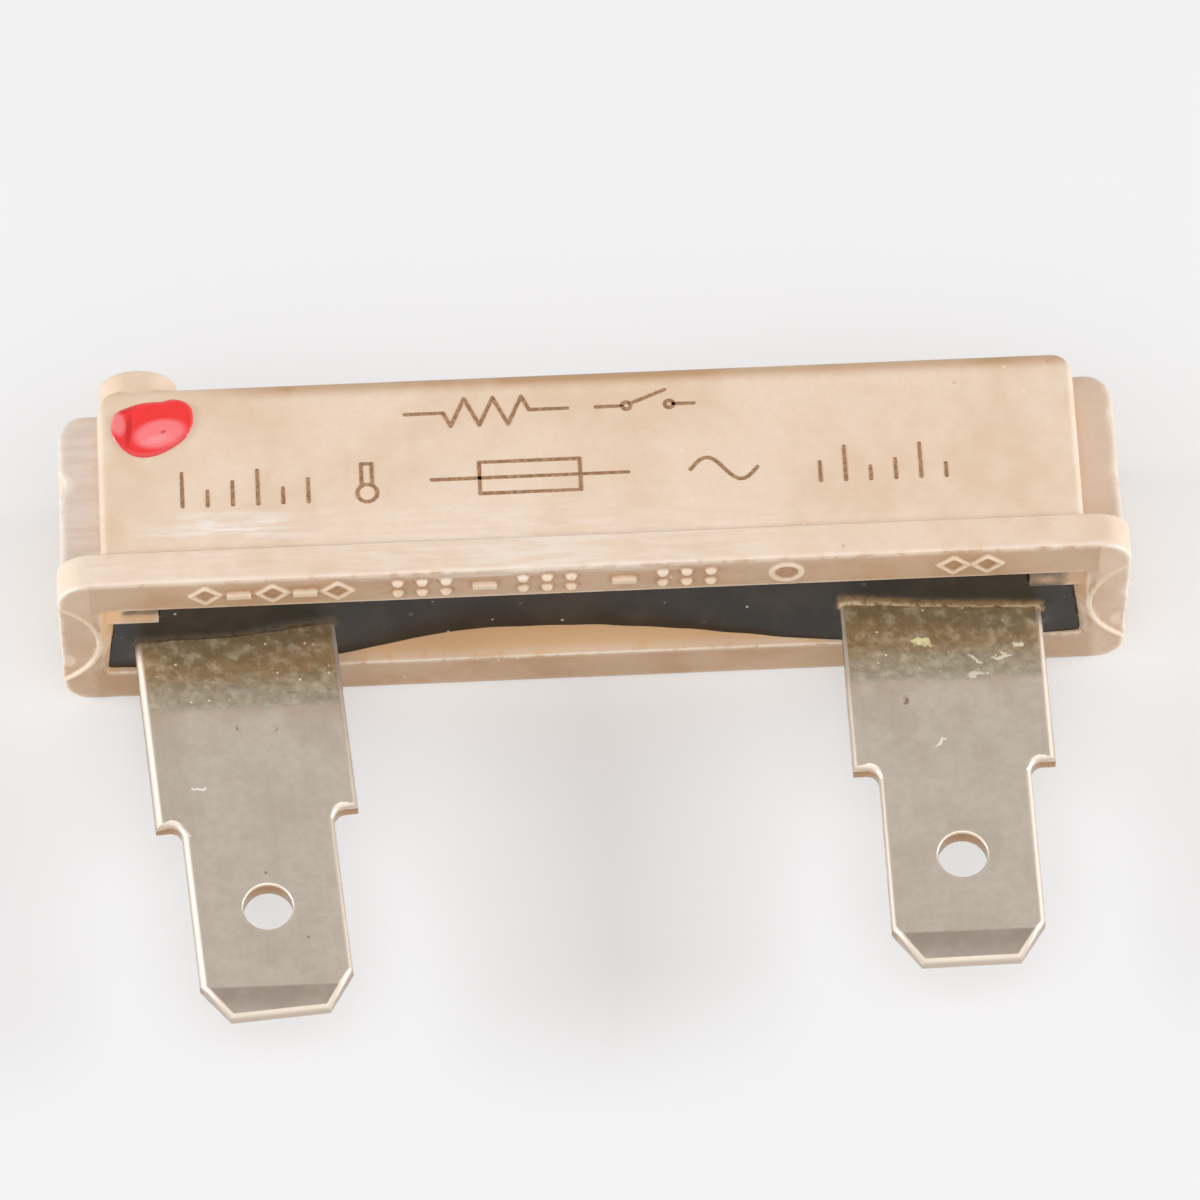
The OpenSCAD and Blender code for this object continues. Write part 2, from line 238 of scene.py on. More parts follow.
def filled_thermoset(masks):
    """Moulded mineral-filled thermoset. Tan and satin, slightly clouded by its filler and peppered with fine
    specks. Pale along its front edges, partly wear and partly a painted highlight; painted shade on its
    front, its upper rear edge, its corners and the hollows round the rim's relief; browning on the right
    rail and at the mouth's right end; greyer on the left rail; more orange inside the mouth and lightened
    there as painted light; blackened on the ribs, by smeared potting on the right one and by painted shade
    and the rim's painted shadow on the left one. The masks are stored on the moulding."""
    material, tree, shader = new_material("mineral_filled_thermoset")
    place = add(tree, "ShaderNodeTexCoord").outputs["Object"]
    stored = {}
    for name in masks:
        stored[name] = add(tree, "ShaderNodeAttribute", {"attribute_name": name}).outputs["Fac"]
    clouding = cloud(tree, place, 5, 0.38, 0.64)
    blotches = cloud(tree, place, 1.2, 0.4, 0.66)
    grain = cloud(tree, place, 0.3, 0.35, 0.7, 3)
    drawn = add(tree, "ShaderNodeMapping", inputs={"Vector": place, "Scale": (0.12, 1.0, 1.0)})
    streaks = cloud(tree, drawn.outputs["Vector"], 0.3, 0.4, 0.62)
    colour = wash(tree, srgb("EDD5BD"), "E4C8AB", clouding)
    colour = wash(tree, colour, "F3E1CE", blotches, 0.3)
    colour = wash(tree, colour, "D8B795", grain, 0.18)
    # Painted shade on the flange's front and upper rear edge; browning on the right rail and at the mouth's
    # right end.
    colour = wash(tree, colour, "BF9972", stored["shade_and_browning"], (clouding, 0.0, 1.0, 0.75, 1.0))
    # More orange inside the mouth and lightened there: partly the lining's tint, partly painted light in the
    # recess.
    colour = wash(tree, colour, "F8CB98", stored["lining"], 0.9)
    colour = wash(tree, colour, "CFC3BC", stored["greyed"], 0.65)
    # Painted shade in concave corners outside the mouth and in the hollows of the rim's relief.
    colour = wash(tree, colour, "AE7C4E", stored["corner_shade"], (grain, 0.0, 1.0, 0.6, 1.0), 0.75)
    # Pale on edges and the mouth's lower lip: partly wear, partly a painted highlight.
    colour = wash(tree, colour, "F8EBDA", stored["wear_and_highlight"], cloud(tree, place, 0.6, 0.35, 0.5), 0.8)
    colour = wash(tree, colour, "E6CDAE", stored["raised"], (grain, 0.0, 1.0, 1.0, 0.7), 0.75)
    colour = wash(tree, colour, "FAF2EA", stored["scuff"], (streaks, 0.0, 1.0, 0.3, 1.0), 0.85)
    colour = wash(tree, colour, "F7EEE2", specks(tree, place, 0.8, 0.1, 0.12), 0.5)
    colour = wash(tree, colour, "A97E52", specks(tree, place, 1.3, 0.09, 0.12), 0.45)
    # Blackened ribs: smeared potting on the right one, painted shade and the rim's painted shadow on the
    # left.
    colour = wash(tree, colour, "3A322C", stored["smear_and_shadow"], (blotches, 0.0, 1.0, 0.8, 1.0))
    surface(tree, shader, colour, amount(tree, (grain, 0.0, 1.0, 0.36, 0.48)), grain, 0.003)
    shader.inputs["IOR"].default_value = 1.5
    return material


def cast_epoxy():
    """Cast black epoxy. Near black with a dull gloss, hazed in clouds, dusted with pale and brown specks,
    and brown to cream where flux has dried along a tab."""
    material, tree, shader = new_material("cast_black_epoxy")
    place = add(tree, "ShaderNodeTexCoord").outputs["Object"]
    dried = add(tree, "ShaderNodeAttribute", {"attribute_name": "dried"}).outputs["Fac"]
    ragged = amount(tree, dried, cloud(tree, place, 0.35, 0.1, 0.6, 3))
    haze = cloud(tree, place, 2.4, 0.4, 0.68)
    waves = cloud(tree, place, 0.8, 0.2, 0.8)
    colour = wash(tree, srgb("29231C"), "3B3329", haze)
    colour = wash(tree, colour, "6A5542", specks(tree, place, 0.95, 0.13, 0.25), 0.7)
    colour = wash(tree, colour, "D9CFBF", specks(tree, place, 0.6, 0.08, 0.26), 0.85)
    colour = wash(tree, colour, "8A6E48", (ragged, 0.0, 0.55))
    colour = wash(tree, colour, "D6C29C", (ragged, 0.5, 0.95))
    surface(tree, shader, colour, amount(tree, (haze, 0.0, 1.0, 0.34, 0.48)), waves, 0.006)
    shader.inputs["IOR"].default_value = 1.5
    return material


def tin_plate():
    """Tin plate on stamped brass strip. Warm satin grey, clouded by handling, paler on its rolled edges,
    with bare brass on its cut walls. Its root is darker and mottled olive out to a ragged line, partly a
    coat of flux with pale crumbs and partly a painted reflection of the housing's front and the potting; its
    coined tip is stained, most of all along the crease."""
    material, tree, shader = new_material("tin_plated_brass")
    place = add(tree, "ShaderNodeAttribute", {"attribute_name": "tab_place"}).outputs["Vector"]
    parts = add(tree, "ShaderNodeSeparateXYZ", inputs={"Vector": place}).outputs
    level = add(tree, "ShaderNodeMapping", inputs={"Vector": place, "Scale": (1.0, 1.0, 0.0)})
    flat = level.outputs["Vector"]
    grained = add(tree, "ShaderNodeMapping", inputs={"Vector": place, "Scale": (1.0, 0.05, 0.0)})
    lines = cloud(tree, grained.outputs["Vector"], 0.2, 0.3, 0.7, 2)
    smudge = cloud(tree, flat, 2.2, 0.4, 0.66)
    mottle = cloud(tree, flat, 0.45, 0.32, 0.68)
    geometry = add(tree, "ShaderNodeNewGeometry").outputs
    slope = rise_of(tree, geometry["Normal"])
    rolled = amount(tree, (slope, 0.98, 0.9), (slope, 0.2, 0.45))
    upright = rise_of(tree, geometry["True Normal"])
    colour = wash(tree, srgb("EEDFCE"), "DFD0BE", smudge)
    colour = wash(tree, colour, "C9B9A5", mottle, 0.22)
    colour = wash(tree, colour, "F6EBDF", lines, 0.12)

    # The darker root band: partly flux, partly a painted reflection of the housing's front and the potting.
    uneven = {0: mottle, 1: FLUX_REFLECTION_RAGGED * MM, 2: parts["Z"]}
    out = add(tree, "ShaderNodeMath", {"operation": "MULTIPLY_ADD"}, uneven).outputs["Value"]
    flux_and_reflection_run = (out, (FLUX_REFLECTION_END + FLUX_REFLECTION_RAGGED) * MM, FLUX_REFLECTION_END * MM)
    flux_and_reflection = amount(tree, flux_and_reflection_run, (rolled, 0.0, 1.0, 1.0, 0.0))
    thick = (out, FLUX_REFLECTION_DEEP * 1.3 * MM, FLUX_REFLECTION_DEEP * 0.7 * MM)
    colour = wash(tree, colour, wash(tree, srgb("BEB9A8"), "BCA57E", thick), flux_and_reflection)
    colour = wash(tree, colour, "8E7D5A", flux_and_reflection, mottle, 0.45)
    dust = amount(tree, flux_and_reflection, cloud(tree, flat, 0.6, 0.4, 0.7), 0.55)
    colour = wash(tree, colour, "C3B99F", dust)
    crumbs = amount(tree, flux_and_reflection, specks(tree, flat, 0.42, 0.07, 0.4))
    colour = wash(tree, colour, "EFE6CC", crumbs, 0.75)

    coined = amount(tree, (parts["Y"], COIN_START * MM, (COIN_START - COIN_EDGE) * MM))
    by_crease = (parts["Y"], STAIN[0] * MM, STAIN[1] * MM, 0.6, 1.0)
    colour = wash(tree, colour, "D2C4B6", coined, 0.7)
    colour = wash(tree, colour, "A08B79", coined, by_crease, cloud(tree, flat, 1.0, 0.0, 0.6), 0.5)
    colour = wash(tree, colour, "6A5744", specks(tree, flat, 1.5, 0.09, 0.1), 0.6)

    stir = add(tree, "ShaderNodeTexNoise", inputs={"Vector": flat, "Scale": per_mm(0.45)}).outputs["Color"]
    drift = {0: stir, 1: (SPOT_SWAY * MM, SPOT_SWAY * MM, 0), 2: flat}
    sway = add(tree, "ShaderNodeVectorMath", {"operation": "MULTIPLY_ADD"}, drift).outputs["Vector"]
    dull = add(tree, "ShaderNodeMath", {"operation": "MAXIMUM"}, {0: crumbs, 1: dust}).outputs["Value"]
    for (x, y), reach, turn, code in TAB_SPOTS:
        mark = spot(tree, sway, (x + SPOT_SWAY / 2, y + SPOT_SWAY / 2), reach, turn)
        colour = wash(tree, colour, code, mark, 0.85)
        dull = add(tree, "ShaderNodeMath", {"operation": "MAXIMUM"}, {0: dull, 1: mark}).outputs["Value"]
    colour = wash(tree, colour, "CDBFB0", rolled, 0.85)
    colour = wash(tree, colour, "A87B4A", (upright, 0.25, 0.1), (coined, 0.0, 1.0, 0.85, 0.1))

    metal = amount(tree, (flux_and_reflection, 0.0, 1.0, 1.0, 0.6), (dull, 0.0, 1.0, 1.0, 0.0))
    tree.links.new(metal, shader.inputs["Metallic"])
    satin = {0: rolled, 1: 0.3, 2: amount(tree, (smudge, 0.0, 1.0, 0.17, 0.25))}
    rough = add(tree, "ShaderNodeMath", {"operation": "MULTIPLY_ADD"}, satin).outputs["Value"]
    surface(tree, shader, colour, rough, amount(tree, mottle, (flux_and_reflection, 0.0, 1.0, 0.1, 1.0)), 0.008)
    return material


def red_lacquer():
    """Thick red lacquer, dabbed on and dried. Saturated where it is thick, paler on the flat of the dab and
    on the first touch beside it, and deep red in the line between them and along the lower edge."""
    material, tree, shader = new_material("dried_red_lacquer")
    place = add(tree, "ShaderNodeTexCoord").outputs["Object"]
    level = add(tree, "ShaderNodeMapping", inputs={"Vector": place, "Scale": (1.0, 1.0, 0.0)})
    flat = level.outputs["Vector"]
    edge = add(tree, "ShaderNodeAttribute", {"attribute_name": "edge"}).outputs["Fac"]
    streaks = cloud(tree, place, 0.5, 0.55, 0.68)
    colour = wash(tree, srgb("F5302D"), "E01E20", streaks, 0.6)
    for middle, reach, turn, soft, code, share in DAB_SPOTS:
        colour = wash(tree, colour, code, spot(tree, flat, middle, reach, turn, soft), share)
    colour = wash(tree, colour, "D01A1E", edge, 0.8)
    surface(tree, shader, colour, amount(tree, (streaks, 0.0, 1.0, 0.22, 0.34)))
    shader.inputs["Coat Weight"].default_value = 0.3
    shader.inputs["Coat Roughness"].default_value = 0.1
    return material


def laser_burn():
    """Laser-burnt thermoset. Flat brown with a broken, paler grain, and no gloss."""
    material, tree, shader = new_material("laser_burnt_thermoset")
    place = add(tree, "ShaderNodeTexCoord").outputs["Object"]
    colour = wash(tree, srgb("8F6846"), "B48E69", cloud(tree, place, 0.18, 0.35, 0.7, 2))
    tree.links.new(colour, shader.inputs["Base Color"])
    shader.inputs["Roughness"].default_value = 0.65
    return material


def inner_finish(name, dark, pale, metallic, roughness, grain):
    """A finish of the sealed-in cutoff: two close colours in a grain of a size in millimetres."""
    material, tree, shader = new_material(name)
    place = add(tree, "ShaderNodeTexCoord").outputs["Object"]
    field = cloud(tree, place, grain, 0.3, 0.7)
    colour = wash(tree, srgb(dark), pale, field)
    rough = amount(tree, (field, 0.0, 1.0, roughness, roughness + 0.12))
    surface(tree, shader, colour, rough, field, grain / 40)
    shader.inputs["Metallic"].default_value = metallic
    return material


# Modelling tools.


def choose(piece):
    """Only this piece is selected and active."""
    bpy.ops.object.select_all(action="DESELECT")
    piece.select_set(True)
    bpy.context.view_layer.objects.active = piece


def points_of(piece):
    """The piece's points as an array in millimetres."""
    flat = np.empty(len(piece.data.vertices) * 3)
    piece.data.vertices.foreach_get("co", flat)
    return flat.reshape(-1, 3) / MM


def normals_of(piece):
    """The piece's point normals as an array."""
    flat = np.empty(len(piece.data.vertices) * 3)
    piece.data.vertices.foreach_get("normal", flat)
    return flat.reshape(-1, 3)


def set_points(piece, points):
    """Puts the piece's points back from an array in millimetres."""
    piece.data.vertices.foreach_set("co", (points * MM).ravel())
    piece.data.update()


def store(piece, name, values, kind="FLOAT"):
    """Stores a value on each of the piece's points, for its material."""
    layer = piece.data.attributes.new(name, kind, "POINT")
    field = "vector" if kind == "FLOAT_VECTOR" else "value"
    layer.data.foreach_set(field, np.asarray(values, float).ravel())


def node_copy(node, name):
    """A new piece with a merged copy of a CAD node's mesh."""
    piece = bpy.data.objects.new(name, frame["nodes"][node].data.copy())
    bpy.context.collection.objects.link(piece)
    piece.data.materials.clear()
    choose(piece)
    bpy.ops.object.mode_set(mode="EDIT")
    bpy.ops.mesh.select_all(action="SELECT")
    bpy.ops.mesh.remove_doubles(threshold=WELD)
    bpy.ops.mesh.customdata_custom_splitnormals_clear()
    bpy.ops.object.mode_set(mode="OBJECT")
    return piece


def finish_modifier(piece, kind, settings):
    """Adds a modifier with its settings and applies it."""
    choose(piece)
    modifier = piece.modifiers.new(kind.lower(), kind)
    for name, value in settings.items():
        setattr(modifier, name, value)
    bpy.ops.object.modifier_apply(modifier=modifier.name)


def soften(piece, voxel, rounds):
    """Fuses the piece's shells to one skin and rounds its edges, as the edges of a well-used mould leave
    them.
    """
    choose(piece)
    piece.data.remesh_voxel_size = voxel * MM
    bpy.ops.object.voxel_remesh()
    finish_modifier(piece, "SMOOTH", {"factor": 0.5, "iterations": rounds})
    bpy.ops.object.shade_smooth()


def thin_out(piece, free, faces):
    """Brings the piece down to a number of triangles, where its points are free to go."""
    group = piece.vertex_groups.new(name="free")
    group.add(np.flatnonzero(free).tolist(), 1.0, "REPLACE")
    ratio = faces / (2 * len(piece.data.polygons))
    finish_modifier(piece, "DECIMATE", {"ratio": ratio, "vertex_group": group.name})


def join(pieces, name):
    """Joins pieces to the first one."""
    choose(pieces[0])
    for piece in pieces[1:]:
        piece.select_set(True)
    bpy.ops.object.join()
    pieces[0].name = name
    return pieces[0]


def settle(piece):
    """Puts a primitive's place, turn and size into its mesh."""
    choose(piece)
    bpy.ops.object.transform_apply(location=True, rotation=True, scale=True)
    return piece


def dress(piece, node, material):
    """The piece stands for its CAD node, with a material."""
    piece.data.materials.clear()
    piece.data.materials.append(material)
    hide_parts(node)
    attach(piece, "root")


def ripple(points, size, seed):
    """A smooth random value from -1 to 1 at each point, in waves of a size in millimetres."""
    shift = Vector((seed * 17.3, seed * 5.1, seed * 9.7))
    return np.array([noise.noise(Vector(p) / size + shift) for p in points])


def grade(values, start, end):
    """0 where the values are at the start and 1 where they are at the end."""
    return np.clip((values - start) / (end - start), 0, 1)


def near(points, middle, radius):
    """1 at the middle, falling smoothly to 0 at the radius."""
    close = grade(np.linalg.norm(points - np.array(middle), axis=1), radius, 0)
    return close**2 * (3 - 2 * close)


# The moulding.

# Relief on the upper rim: middles along X of open diamonds, dashes, studs and one ring.
RIM_DIAMONDS = (-16.2, -13.4, -10.7, 14.9, 16.3)
RIM_DASHES = (-14.8, -12.05, -4.6, 1.2)
RIM_STUDS = (-8.2, -7.2, -6.2, -3.0, -2.0, -1.0, 2.8, 3.8, 4.8)
RIM_RING = 7.95
RIM_LEVEL = 3.75
RIM_RADIUS = 0.62
RIM_STROKE = 0.15
STUD_RISE = 0.4
STUD_RADIUS = 0.25
DASH_LENGTH = 1.0
DASH_DEPTH = 0.45
DASH_HEIGHT = 0.33

# How far the painted shade reaches round the relief, how close to the rim's face a point counts as on it,
# how far out the relief sets in and is full, and how far back the rim keeps all its faces.
RIM_HALO = 0.22
RIM_SKIN = 0.08
RIM_RISE = (0.03, 0.09)
RIM_KEPT = 0.35

# Round witness lines of screw heads, on the flange's ends.
SEAT_RADIUS = 3.65
SEAT_OVERLAP = 1.65
CREST = 0.13
CREST_SINK = 0.03
CREST_INSET = 0.12

# Chips and dents: middle, radius and depth.
HOUSING_NICKS = (
    ((-22.2, 4.6, 2.6), 0.7, 0.25),
    ((-22.3, -1.2, -1.6), 0.8, 0.12),
    ((22.2, 3.2, 2.6), 0.6, 0.1),
    ((22.2, 6.0, 2.6), 0.4, 0.1),
    ((22.35, -1.2, -1.7), 0.9, 0.16),
    ((22.35, -1.3, 0.6), 0.5, 0.1),
    ((18.6, -1.55, 4.8), 0.5, 0.1),
    ((-6.5, -1.55, 4.8), 0.4, 0.08),
)

HOUSING_VOXEL = 0.1
HOUSING_FACES = 185000

# The bend of the skin at which wear with a painted highlight on edges, and painted shade in corners, start
# and are full; and the rounds of blending that the bend gets.
WEAR_AND_HIGHLIGHT_BEND = (0.02, 0.131)
CORNER_SHADE_BEND = (0.04, 0.29)
BEND_ROUNDS = 3

# How far behind the front the pale strip at the mouth's lower edge starts and is full.
LIP_STRIP = (0.6, 0.3)

# Where the upper rear edge is darkened as painted shade: the runs along X, Y and Z over which that sets in.
REAR_SHADE = ((-16.4, -12.4), (7.3, 7.7), (2.4, 3.8))

# How far in from the mouth's right end its lining takes browning, and how far past the mouth's ends the
# flange's front takes less painted shade and its edges more wear and highlight.
BROWNED_END = 1.1
END_MARGIN = 0.3

# Pale scuffs on the marked face: the middle and reach of a streak; the middle along X of a broad sweep by
# the flange, and how far it reaches along and back; and the run along the flange's top over which it is
# rubbed.
STREAK_MIDDLE = (-14.8, 1.25)
STREAK_REACH = (4.6, 0.8)
SWEEP_MIDDLE = -3
SWEEP_REACH = (17, 3.2)
FLANGE_RUB = (12, -8)

# How close to a face its points are taken to lie.
FACE_DEPTH = 0.2


def rim_relief():
    """The raised ornament on the upper rim of the flange."""
    made = []
    for x in RIM_DIAMONDS + (RIM_RING,):
        bpy.ops.mesh.primitive_torus_add(
            major_segments=24 if x == RIM_RING else 4,
            minor_segments=10,
            major_radius=RIM_RADIUS * MM,
            minor_radius=RIM_STROKE * MM,
            location=(x * MM, FLANGE_FRONT * MM, RIM_LEVEL * MM),
            rotation=(math.radians(90), 0, 0),
        )
        made.append(settle(bpy.context.object))
    for x in RIM_DASHES:
        bpy.ops.mesh.primitive_cube_add(
            size=1,
            location=(x * MM, FLANGE_FRONT * MM, RIM_LEVEL * MM),
            scale=(DASH_LENGTH * MM, DASH_DEPTH * MM, DASH_HEIGHT * MM),
        )
        made.append(settle(bpy.context.object))
    for x in RIM_STUDS:
        for rise in (-STUD_RISE, STUD_RISE):
            bpy.ops.mesh.primitive_uv_sphere_add(
                segments=16,
                ring_count=10,
                radius=STUD_RADIUS * MM,
                location=(x * MM, FLANGE_FRONT * MM, (RIM_LEVEL + rise) * MM),
            )
            made.append(settle(bpy.context.object))
    return made


def seat_crests():
    """The thin raised arcs that bound the screw-head seats."""
    made = []
    for side in (-1, 1):
        middle = FLANGE_HALF - SEAT_OVERLAP + SEAT_RADIUS
        bpy.ops.mesh.primitive_torus_add(
            major_segments=96,
            minor_segments=8,
            major_radius=SEAT_RADIUS * MM,
            minor_radius=CREST * MM,
            location=(side * middle * MM, (FLANGE_FRONT + CREST_SINK) * MM, 0),
            rotation=(math.radians(90), 0, 0),
        )
        ring = settle(bpy.context.object)
        bpy.ops.object.mode_set(mode="EDIT")
        bpy.ops.mesh.select_all(action="SELECT")
        bpy.ops.mesh.bisect(
            plane_co=(side * (FLANGE_HALF - CREST_INSET) * MM, 0, 0),
            plane_no=(side, 0, 0),
            use_fill=True,
            clear_outer=True,
        )
        bpy.ops.object.mode_set(mode="OBJECT")
        made.append(ring)
    return made


def bend_of(piece):
    """How convex the skin is at each point: positive on edges, negative in corners."""
    points = points_of(piece)
    normals = normals_of(piece)
    ends = np.empty(len(piece.data.edges) * 2, int)
    piece.data.edges.foreach_get("vertices", ends)
    first, second = ends.reshape(-1, 2).T
    reach = points[second] - points[first]
    length = np.linalg.norm(reach, axis=1) + 1e-9
    total = np.zeros(len(points))
    count = np.zeros(len(points))
    for a, b, way in ((first, second, 1), (second, first, -1)):
        fall = -way * np.einsum("ij,ij->i", reach, normals[a]) / length
        np.add.at(total, a, fall)
        np.add.at(count, a, 1)
    bend = total / np.maximum(count, 1)
    for _ in range(BEND_ROUNDS):
        spread = bend.copy()
        np.add.at(spread, first, bend[second])
        np.add.at(spread, second, bend[first])
        bend = spread / (count + 1)
    return bend


def rim_hollows(points):
    """1 in the hollows of the rim's relief, where shade is painted, fading out round dashes and studs."""
    x, y, z = points.T
    rise = z - RIM_LEVEL
    gaps = [np.hypot(x - RIM_RING, rise) - RIM_RADIUS]
    gaps += [np.abs(x - middle) + np.abs(rise) - RIM_RADIUS for middle in RIM_DIAMONDS]
    for middle in RIM_DASHES:
        gaps.append(np.maximum(np.abs(x - middle) - DASH_LENGTH / 2, np.abs(rise) - DASH_HEIGHT / 2))
    for middle in RIM_STUDS:
        gaps += [np.hypot(x - middle, rise - side * STUD_RISE) - STUD_RADIUS for side in (-1, 1)]
    return grade(np.min(gaps, axis=0), RIM_HALO, 0) * (np.abs(y - FLANGE_FRONT) < RIM_SKIN)


# The ribs in the mouth's upper corners: their ends along X, Y and Z, the run of height over which the rim
# shades them, and the middle and half-lengths of the patch of the right one that stayed clean.
RIB_ENDS = ((18.1, 19.65), (FLANGE_FRONT + 0.25, 2), (MOUTH_TOP - 1.9, MOUTH_TOP - 0.02))
RIB_SHADE = (1.45, 1.65)
RIB_PATCH = (18.9, 1.35)
PATCH_REACH = (0.6, 0.35)


def rib_smear_and_shadow(points):
    """How far the ribs are blackened: by smeared potting over nearly all of the right one, and on the left
    one by painted shade, strongest as the rim's painted shadow at its top.
    """
    x, y, z = points.T
    on_rib = np.ones(len(points), bool)
    for values, (low, high) in zip((np.abs(x), y, z), RIB_ENDS):
        on_rib &= (values > low) & (values < high)
    away = (np.stack([x, z], axis=1) - RIB_PATCH) / PATCH_REACH
    patch = grade(np.linalg.norm(away, axis=1), 1.3, 0.3)
    # On the left rib, painted shade, darkest as the rim's painted shadow at its top.
    return on_rib * np.where(x > 0, 0.95 - 0.5 * patch, 0.2 + 0.65 * grade(z, *RIB_SHADE))


def inside_mouth(points):
    """True on the lining of the mouth and the cavity behind it."""
    x, y, z = points.T
    within = (np.abs(x) < MOUTH_HALF + 0.05) & (np.abs(z) < MOUTH_TOP + 0.05)
    return within & (y > FLANGE_FRONT + RIM_SKIN) & (y < CAVITY_BACK + 0.3)


def shade_and_browning(points, facing):
    """How far the skin is darkened: painted shade on the flange's front, less so at its ends, and along the
    upper rear edge; browning on the right rail and at the right end of the lining."""
    x, y, z = points.T
    at_end = np.abs(x) > MOUTH_HALF + END_MARGIN
    in_front = (facing[:, 1] < -0.7) & (y < FLANGE_FRONT + 0.12)
    # Painted shade on the flange's front, less at its ends, and on the upper rear edge.
    front = np.where(at_end, np.where(x < 0, 0.6, 0.3), np.where(z < 0, 0.95, 0.9))
    rear = np.prod([grade(values, *run) for values, run in zip((x, y, z), REAR_SHADE)], axis=0)
    right_rail = 0.45 * on_rails(points) * (x > 0)
    right_lining = 0.8 * inside_mouth(points) * (x > MOUTH_HALF - BROWNED_END)
    return np.max([front * in_front * (1 - relief_rise(points)), rear, right_rail, right_lining], axis=0)


def relief_rise(points):
    """1 on what stands out of the flange's front."""
    return grade(FLANGE_FRONT - points[:, 1], *RIM_RISE)


def on_rails(points):
    """True on the rails' tops."""
    x, y, z = points.T
    return (np.abs(x) > BLOCK_HALF + 0.05) & (z > RAIL_TOP - FACE_DEPTH) & (y > 0.05)


def wear_and_highlight(points, bend):
    """How far the skin is made pale, partly as wear and partly as a painted highlight: along the flange's
    edges and the mouth's lower lip, less so on the rails, hardly elsewhere, and not on the block's rear
    edges."""
    x, y, z = points.T
    behind = np.where(np.abs(x) > MOUTH_HALF + END_MARGIN, 0.6, 0.15)
    share = np.where(y < -0.3, 1.0, behind) * ((y < 6.6) | (z < RAIL_TOP + FACE_DEPTH))
    start, full = LIP_STRIP
    lip = inside_mouth(points) * (z < 0) * grade(y, FLANGE_FRONT + start, FLANGE_FRONT + full)
    return np.maximum(grade(bend, *WEAR_AND_HIGHLIGHT_BEND) * share, 0.5 * lip)


def scuffed(points):
    """How far the skin is scuffed: in a streak and a sweep on the marked face, on the flange's top and on
    the left rail."""
    x, y, z = points.T
    streak = grade(np.abs(x - STREAK_MIDDLE[0]), STREAK_REACH[0], 0)
    streak *= grade(np.abs(y - STREAK_MIDDLE[1]), STREAK_REACH[1], 0)
    sweep = grade(np.abs(x - SWEEP_MIDDLE), SWEEP_REACH[0], 0) * grade(y, SWEEP_REACH[1], 0)
    on_face = (z > MARKED_FACE - FACE_DEPTH) * np.maximum(np.sqrt(streak), 0.5 * sweep)
    on_flange = 0.22 * grade(x, *FLANGE_RUB) * (z > FLANGE_TOP - FACE_DEPTH) * (y < 0)
    return np.max([on_face, on_flange, 0.3 * on_rails(points) * (x < 0)], axis=0)


def moulding():
    """The housing: the CAD form with its rim relief and seat crests, softened, nicked, rubbed and soiled,
    with painted shade and highlights.
    """
    piece = join([node_copy("housing", "moulding"), *rim_relief(), *seat_crests()], "housing_moulding")
    soften(piece, HOUSING_VOXEL, 1)
    points = points_of(piece)
    push = sum(depth * near(points, middle, radius) for middle, radius, depth in HOUSING_NICKS)
    set_points(piece, points - normals_of(piece) * push[:, None])
    points = points_of(piece)
    x, y, z = points.T
    bend = bend_of(piece)
    inside = inside_mouth(points)
    # Painted light among these masks: shade on the front, rear edge, corners and relief hollows; highlight
    # on edges; light inside the mouth; the rim's shadow on the left rib.
    masks = {
        "raised": relief_rise(points),
        "wear_and_highlight": wear_and_highlight(points, bend),
        "lining": inside * np.where(x > MOUTH_HALF - BROWNED_END, 0.25, 1.0),
        "shade_and_browning": shade_and_browning(points, normals_of(piece)),
        "corner_shade": np.maximum(grade(-bend, *CORNER_SHADE_BEND) * ~inside, rim_hollows(points)),
        "greyed": on_rails(points) * np.where(x < 0, 1.0, 0.4),
        "scuff": scuffed(points),
        "smear_and_shadow": rib_smear_and_shadow(points),
    }
    for name, values in masks.items():
        store(piece, name, values)
    thin_out(piece, ~((y < FLANGE_FRONT + RIM_KEPT) & (z > MOUTH_TOP)), HOUSING_FACES)
    dress(piece, "housing", filled_thermoset(masks))


# The potting.

# The epoxy's face: place along X, how far its lower edge lies behind the front plane, and how much deeper it
# lies for each millimetre of height.
EPOXY_FACE = (
    (-20.5, 0.3, 0.14),
    (-19.3, 0.22, 0.12),
    (-15, 0.14, 0.2),
    (-10.6, 0.45, 0.32),
    (-7.5, 1.05, 0.3),
    (-4.9, 1.46, 0.25),
    (0.1, 1.36, 0.25),
    (4.3, 0.92, 0.3),
    (8.5, 0.24, 0.4),
    (10.3, 0.06, 0.43),
    (14.5, 0.06, 0.25),
    (18.8, 0.12, 0.12),
    (20.5, 0.16, 0.2),
)
EPOXY_VOXEL = 0.15

# How its corners are eased: the spread, the half-length and step of the places, and the steps to each side.
EPOXY_SPREAD = 0.7
EPOXY_HALF = 22
EPOXY_STEP = 0.1
EPOXY_STEPS = 25

# Waves on it: height, length and seed.
EPOXY_WAVES = ((0.05, 1.6, 2), (0.08, 4.5, 3))

# Points in front of this depth belong to the epoxy's face. It stays this far behind the front plane, and
# overlaps the mouth's walls a little so that no gap shows.
FACE_REACH = 2.6
FACE_SETBACK = 0.06
FACE_OVERLAP = 0.12

# The wet edge round each tab: how far it is drawn out, and how fast that fades.
WET_EDGE = 0.18
WET_FADE = 0.3

# The strip of dried flux over a tab: its height, and how far it runs past the tab's sides.
FLUX_HEIGHT = 0.5
FLUX_SIDE = 0.2

# How thickly flux has dried on the epoxy along each tab's root.
FLUX = {"left": 0.25, "right": 1.0}


